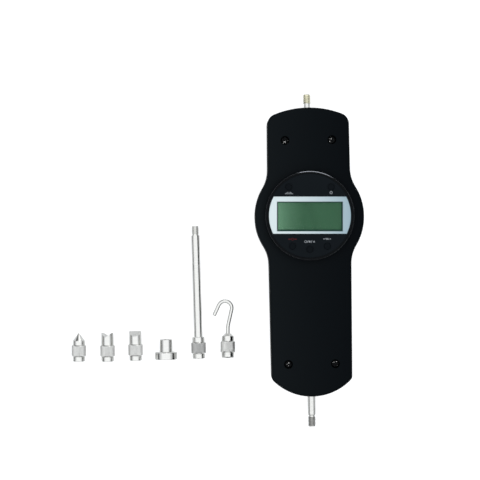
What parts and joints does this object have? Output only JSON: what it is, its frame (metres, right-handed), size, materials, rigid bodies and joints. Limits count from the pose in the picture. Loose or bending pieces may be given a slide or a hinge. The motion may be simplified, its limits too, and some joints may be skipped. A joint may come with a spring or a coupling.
{
  "type": "digital force gauge",
  "caption": "Digital push-pull force gauge with a sprung measuring rod, round display and interchangeable screw-on heads, lying on its back.",
  "frame": {"origin": "middle of the four rear mounting holes, on the flat back face the gauge lies on", "axes": "+Z is the way the display faces, +Y runs along the measuring rod towards its short top stub, +X is right of the display"},
  "size_m": [0.2233, 0.2509, 0.0441],
  "materials": {
    "case_paint": "black textured paint on die-cast aluminium",
    "black_steel": "black oxide",
    "display_black": "satin",
    "panel_black": "gloss",
    "frame_silver": "silver anodised",
    "clear_window": "clear",
    "lcd_green": "reflective liquid-crystal cell",
    "zebra_rubber": "matt",
    "circuit_green": "solder mask",
    "black_plastic": "matt",
    "button_black": "satin",
    "rod_steel": "ground",
    "bush_brass": "machined",
    "carriage_metal": "machined",
    "inner_steel": "plain",
    "strip_glass": "gloss",
    "spring_steel": "oiled",
    "cell_steel": "nickel",
    "head_chrome": "nickel-chrome plated"
  },
  "bodies": {
    "gauge": {"front_housing": "case_paint", "rear_housing": "case_paint", "housing_screws": "black_steel", "upper_rod_bush": "bush_brass", "lower_rod_bush": "bush_brass", "guide_rod": "inner_steel", "upper_spring_seat": "inner_steel", "lower_spring_seat": "inner_steel", "upper_spring": "spring_steel", "lower_spring": "spring_steel", "display_case": "display_black", "display_case_screws": "inner_steel", "face_panel": "panel_black", "display_frame": "frame_silver", "lcd_window": "clear_window", "lcd_panel": "lcd_green", "lcd_connectors": "zebra_rubber", "main_board": "circuit_green", "reader_board": "circuit_green", "board_connector": "black_plastic", "button_switches": "black_plastic", "battery": "cell_steel", "battery_ring": "black_plastic", "battery_contact": "cell_steel", "data_board": "circuit_green", "data_board_screws": "inner_steel", "data_socket": "cell_steel"},
    "rod": {"measuring_rod": "rod_steel", "rod_carriage": "carriage_metal", "carriage_screw": "inner_steel", "scale_strip": "strip_glass", "rod_collar": "inner_steel", "collar_screw": "inner_steel"},
    "peak": {"peak_button": "button_black"},
    "power": {"power_button": "button_black"},
    "zero": {"zero_button": "button_black"},
    "unit": {"unit_button": "button_black"},
    "data": {"data_button": "button_black"},
    "cover": {"battery_cover": "black_plastic"},
    "cone": {"cone_head": "head_chrome"},
    "notch": {"notch_head": "head_chrome"},
    "chisel": {"chisel_head": "head_chrome"},
    "flat": {"flat_head": "head_chrome"},
    "extension": {"extension_rod": "head_chrome"},
    "hook": {"hook_collar": "head_chrome", "hook_wire": "head_chrome"}
  },
  "joints": [
    {"name": "rod_slide", "type": "slide", "parent": "gauge", "child": "rod", "axis": [0, 1, 0], "range_m": [-0.01, 0.01], "stiffness_N_per_m": 5000, "deforming": ["upper_spring", "lower_spring"]},
    {"name": "peak_press", "type": "slide", "parent": "gauge", "child": "peak", "axis": [0, 0, -1], "range_m": [0, 0.0006], "stiffness_N_per_m": 800, "springref_m": -0.0003},
    {"name": "power_press", "type": "slide", "parent": "gauge", "child": "power", "axis": [0, 0, -1], "range_m": [0, 0.0006], "stiffness_N_per_m": 800, "springref_m": -0.0003},
    {"name": "zero_press", "type": "slide", "parent": "gauge", "child": "zero", "axis": [0, 0, -1], "range_m": [0, 0.0006], "stiffness_N_per_m": 800, "springref_m": -0.0003},
    {"name": "unit_press", "type": "slide", "parent": "gauge", "child": "unit", "axis": [0, 0, -1], "range_m": [0, 0.0006], "stiffness_N_per_m": 800, "springref_m": -0.0003},
    {"name": "data_press", "type": "slide", "parent": "gauge", "child": "data", "axis": [0, 0, -1], "range_m": [0, 0.0006], "stiffness_N_per_m": 800, "springref_m": -0.0003},
    {"name": "cover_turn", "type": "hinge", "parent": "gauge", "child": "cover", "pos_m": [0, -0.056, 0.0013], "axis": [0, 0, -1], "range_deg": [0, 45]},
    {"name": "cone_lift", "type": "slide", "parent": "gauge", "child": "cone", "axis": [0, 0, 1], "range_m": [0, 0.08]},
    {"name": "notch_lift", "type": "slide", "parent": "gauge", "child": "notch", "axis": [0, 0, 1], "range_m": [0, 0.08]},
    {"name": "chisel_lift", "type": "slide", "parent": "gauge", "child": "chisel", "axis": [0, 0, 1], "range_m": [0, 0.08]},
    {"name": "flat_lift", "type": "slide", "parent": "gauge", "child": "flat", "axis": [0, 0, 1], "range_m": [0, 0.08]},
    {"name": "extension_lift", "type": "slide", "parent": "gauge", "child": "extension", "axis": [0, 0, 1], "range_m": [0, 0.08]},
    {"name": "hook_lift", "type": "slide", "parent": "gauge", "child": "hook", "axis": [0, 0, 1], "range_m": [0, 0.08]}
  ]
}
